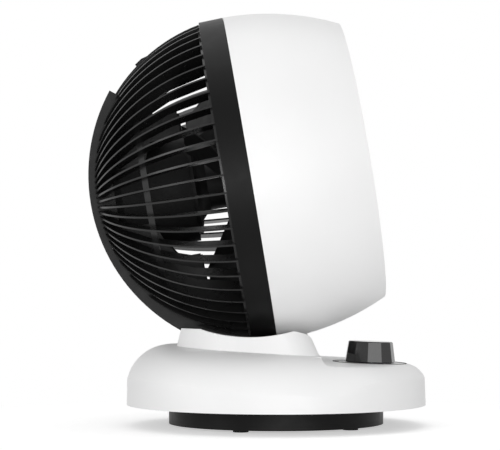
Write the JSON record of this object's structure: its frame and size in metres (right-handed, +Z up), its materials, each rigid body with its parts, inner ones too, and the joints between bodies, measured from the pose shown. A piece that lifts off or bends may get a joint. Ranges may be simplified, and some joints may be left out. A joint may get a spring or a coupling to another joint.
{
  "type": "air circulator fan",
  "caption": "Globe-shaped air circulator fan whose head tilts in a cradle on a round oscillating base, with a fluted speed knob and a ribbed rear grille",
  "frame": {"origin": "on the table, on the axis about which the base swings over its foot", "axes": "+X is the side the air leaves, +Y is to the left seen from behind, +Z is up; the head is modelled tilted 9.6 degrees up"},
  "size_m": [0.2797, 0.2738, 0.3446],
  "materials": {
    "white_shell": "satin",
    "foot_black": "matte",
    "dial_white": "satin",
    "black_gloss": "gloss",
    "black_plastic": "satin",
    "duct_black": "matte",
    "cap_black": "satin",
    "pod_black": "matte",
    "impeller_grey": "satin",
    "nut_plastic": "satin",
    "knob_black": "gloss",
    "pad_rubber": "matte",
    "inlet_rubber": "matte",
    "slip_plastic": "satin",
    "gear_plastic": "satin",
    "switch_plastic": "satin",
    "circuit_board": "satin",
    "capacitor_case": "satin",
    "steel": "satin",
    "zinc_steel": "satin",
    "stator_steel": "matte"
  },
  "bodies": {
    "foot": {"foot_plate": "foot_black", "foot_pads": "pad_rubber", "slip_ring": "slip_plastic", "pivot_post": "steel", "foot_gear": "gear_plastic", "post_washer": "steel", "post_bolt": "steel"},
    "base": {"base_shell": "white_shell", "base_plate": "foot_black", "turntable_bush": "slip_plastic", "base_screws": "steel", "osc_motor": "zinc_steel", "osc_screws": "steel", "control_board": "circuit_board", "run_capacitor": "capacitor_case", "cord_inlet": "inlet_rubber", "dial_plate": "dial_white", "speed_switch": "switch_plastic", "switch_nut": "steel", "tilt_shoe": "slip_plastic", "tilt_bolt": "steel", "tilt_springs": "steel", "tilt_nut": "steel"},
    "pinion": {"drive_pinion": "gear_plastic", "drive_shaft": "steel"},
    "knob": {"control_knob": "knob_black", "switch_spindle": "steel"},
    "head": {"shroud": "white_shell", "band_ring": "black_gloss", "rear_grille": "black_plastic", "duct_ring": "duct_black", "front_grille": "black_plastic", "front_cap": "cap_black", "motor_cover": "pod_black", "motor_end_plate": "pod_black", "motor_bearings": "steel", "motor_stator": "stator_steel"},
    "impeller": {"impeller": "impeller_grey", "fan_shaft": "steel", "motor_rotor": "stator_steel", "impeller_nut": "nut_plastic"}
  },
  "joints": [
    {"name": "oscillation", "type": "hinge", "parent": "foot", "child": "base", "pos_m": [0, 0, 0], "axis": [0, 0, 1], "range_deg": [-40, 40]},
    {"name": "pinion_turn", "type": "hinge", "parent": "base", "child": "pinion", "pos_m": [0, 0.042, 0.025], "axis": [0, 0, 1], "range_deg": [-121, 121]},
    {"name": "speed_knob", "type": "hinge", "parent": "base", "child": "knob", "pos_m": [0.0785, 0, 0.0524], "axis": [0.0349, 0, 0.9994], "range_deg": [-135, 0]},
    {"name": "tilt", "type": "hinge", "parent": "base", "child": "head", "pos_m": [-0.0087, 0, 0.2084], "axis": [0, -1, 0], "range_deg": [-9.6, 80.4]},
    {"name": "fan_spin", "type": "hinge", "parent": "head", "child": "impeller", "pos_m": [-0.02181, 0, 0.20618], "axis": [0.986, 0, 0.1668], "continuous": true}
  ],
  "couplings": [
    {"joint": "pinion_turn", "follows": "oscillation", "ratio": 3}
  ]
}
